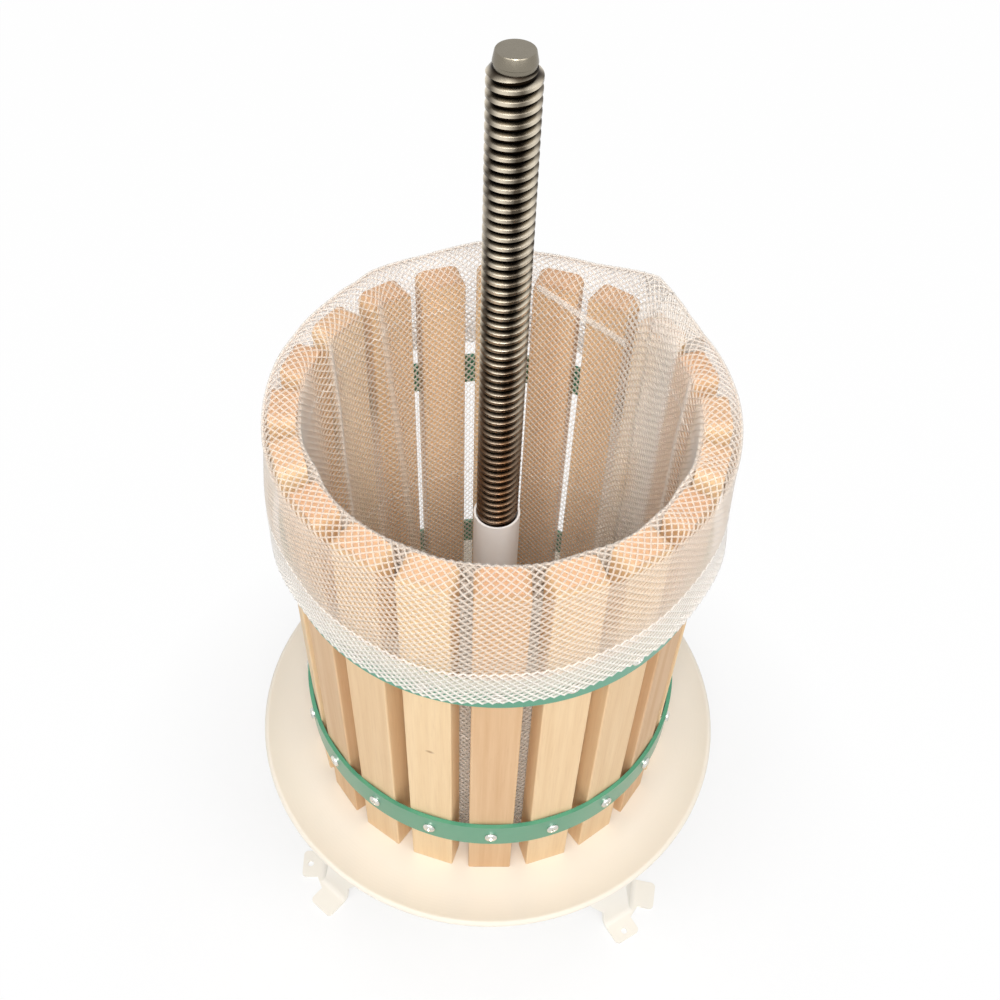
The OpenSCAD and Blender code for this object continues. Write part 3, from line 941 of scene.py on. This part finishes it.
def net_bag(material, hem_material):
    """The net bag: liner, fold, skirt with its hem, side seam and round floor."""
    fabric = net_fabric()
    rows = (fabric.shape[1] - 1) // 2
    splits = (0, rows // 3, 2 * rows // 3, rows)
    names = ("bag_liner_lower", "bag_liner_upper", "bag_skirt")
    walls = [net_piece(n, material, fabric, a, b) for n, a, b in zip(names, splits, splits[1:])]
    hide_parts("net_bag")
    around = (0, len(fabric))
    hem_rows = (2 * (rows - HEM_ROWS), 2 * rows)
    hem_cells = (CELLS_ROUND, HEM_ROWS - 1)
    hem = second_layer("bag_hem", hem_material, fabric, around, hem_rows, hem_cells, HEM_GAP, closed=True)
    seam_rows = (2, 2 * rows)
    lap = (SEAM_SHIFT, 2 * LAP_CELLS + SEAM_SHIFT)
    lap_cells = (LAP_CELLS, rows - 1)
    seam = second_layer("bag_seam_lap", hem_material, fabric, lap, seam_rows, lap_cells, -LAYER_GAP)
    band = (-2 * BAND_CELLS, SEAM_SHIFT)
    band_cells = (2 * BAND_CELLS, 2 * rows - 2)
    sewn = second_layer("bag_seam_band", hem_material, fabric, band, seam_rows, band_cells, -LAYER_GAP)
    crease = bag_crease(hem_material, fabric)
    floor, edge = bag_floor(material)
    base_seam = binding("bag_base_seam", material, edge + BASE_SEAM_OUT, WALL_FOOT_Z + BINDING_LIFT)
    hole_edge = binding("bag_hole_binding", material, HOLE_R + HOLE_EDGE_OUT, WALL_FOOT_Z + BINDING_LIFT)


# Studio
def seen_or_mirrored(tree):
    """1 where the camera looks, also in a reflection or through a clear piece, and 0 elsewhere."""
    rays = add(tree, "ShaderNodeLightPath").outputs
    seen = math_node(tree, "MAXIMUM", rays["Is Camera Ray"], rays["Is Glossy Ray"])
    return math_node(tree, "MAXIMUM", seen, rays["Is Transmission Ray"])


def floor_finish():
    """A white floor that keeps a soft shadow."""
    material, tree = finish("studio_floor")
    set_shader(tree, Base_Color=paint(247, 247, 247), Roughness=0.9)
    seen = seen_or_mirrored(tree)
    white = add(tree, "ShaderNodeEmission", {"Color": (1, 1, 1, 1), "Strength": 1.0}).outputs[0]
    place = object_place(tree)
    away = add(tree, "ShaderNodeVectorMath", {0: place}, operation="LENGTH").outputs["Value"]
    whiteness = ranged(tree, away, SHADOW_NEAR, SHADOW_FAR, WHITE_NEAR, WHITE_FAR)
    share = math_node(tree, "MULTIPLY", seen, whiteness)
    lit = tree.nodes["Principled BSDF"].outputs[0]
    both = add(tree, "ShaderNodeMixShader", {0: share, 1: lit, 2: white}).outputs[0]
    tree.links.new(both, tree.nodes["Material Output"].inputs["Surface"])
    return material


def studio_floor():
    """A wide plain floor under the legs."""
    bm = bmesh.new()
    bmesh.ops.create_grid(bm, x_segments=1, y_segments=1, size=FLOOR_HALF)
    mesh = bpy.data.meshes.new("studio_floor")
    bm.to_mesh(mesh)
    bm.free()
    mesh.materials.append(floor_finish())
    floor = bpy.data.objects.new("studio_floor", mesh)
    bpy.context.scene.collection.objects.link(floor)


def lamp(name, place, size, power, aim):
    """A soft square lamp that points at a place on the object."""
    light = bpy.data.lights.new(name, "AREA")
    light.size = size
    light.energy = power
    holder = bpy.data.objects.new(name, light)
    holder.location = place
    holder.rotation_euler = (Vector(aim) - Vector(place)).to_track_quat("-Z", "Y").to_euler()
    bpy.context.scene.collection.objects.link(holder)


def world_light(strength):
    """Even light all round, and a white background for what is seen or mirrored."""
    world = bpy.data.worlds.new("studio_world")
    world.use_nodes = True
    bpy.context.scene.world = world
    tree = world.node_tree
    background = tree.nodes["Background"]
    background.inputs["Color"].default_value = (1, 1, 1, 1)
    level = ranged(tree, seen_or_mirrored(tree), 0.0, 1.0, strength, 1.0)
    tree.links.new(level, background.inputs["Strength"])


def studio():
    """The floor, the lamps and the world's light."""
    studio_floor()
    for name, place, size, power in LAMPS:
        lamp(name, place, size, power, LAMP_AIM)
    world_light(WORLD_LEVEL)


def camera():
    """The camera at the photograph's place, tilt and roll."""
    data = bpy.data.cameras.new("photo_camera")
    data.sensor_width = SENSOR_WIDTH
    data.lens = CAMERA_LENS
    data.clip_start = CLIP_START
    holder = bpy.data.objects.new("photo_camera", data)
    turned = Matrix.Rotation(CAMERA_TILT, 4, "X") @ Matrix.Rotation(CAMERA_ROLL, 4, "Z")
    holder.matrix_world = Matrix.Translation(CAMERA_PLACE) @ turned
    bpy.context.scene.collection.objects.link(holder)
    bpy.context.scene.camera = holder


def wear(names, material):
    """Gives CAD nodes a finish."""
    for name in names:
        slots = nodes[name].data.materials
        slots.clear()
        slots.append(material)


camera()
studio()
bpy.context.scene.view_settings.view_transform = "Standard"

cream = coated("tray_coating", paint(241, 232, 218), paint(238, 228, 213), 0.30, 420.0, 0.05 * MM)
leg_cream = coated("leg_coating", paint(248, 243, 233), paint(244, 238, 227), 0.36, 420.0, 0.05 * MM)
green = coated("hoop_paint", paint(84, 158, 126), paint(70, 145, 113), 0.36, 600.0, 0.04 * MM)
zinc = zinc_plate()
wear(["tray", "spout"], cream)
wear(LEGS, leg_cream)
wear(HOOPS, green)
wear(STAVES, beech())
wear(["spindle_sleeve"], sleeve_plastic())
wear(["base_washer", "base_nut"], zinc)

spindle(spindle_steel())
for hoop_name in HOOPS:
    hoop_screws(hoop_name, zinc)
net_bag(
    yarn("net_yarn", paint(250, 238, 225), paint(246, 232, 217), YARN_COVER),
    yarn("hem_yarn", paint(252, 248, 243), paint(248, 243, 236), HEM_COVER),
)
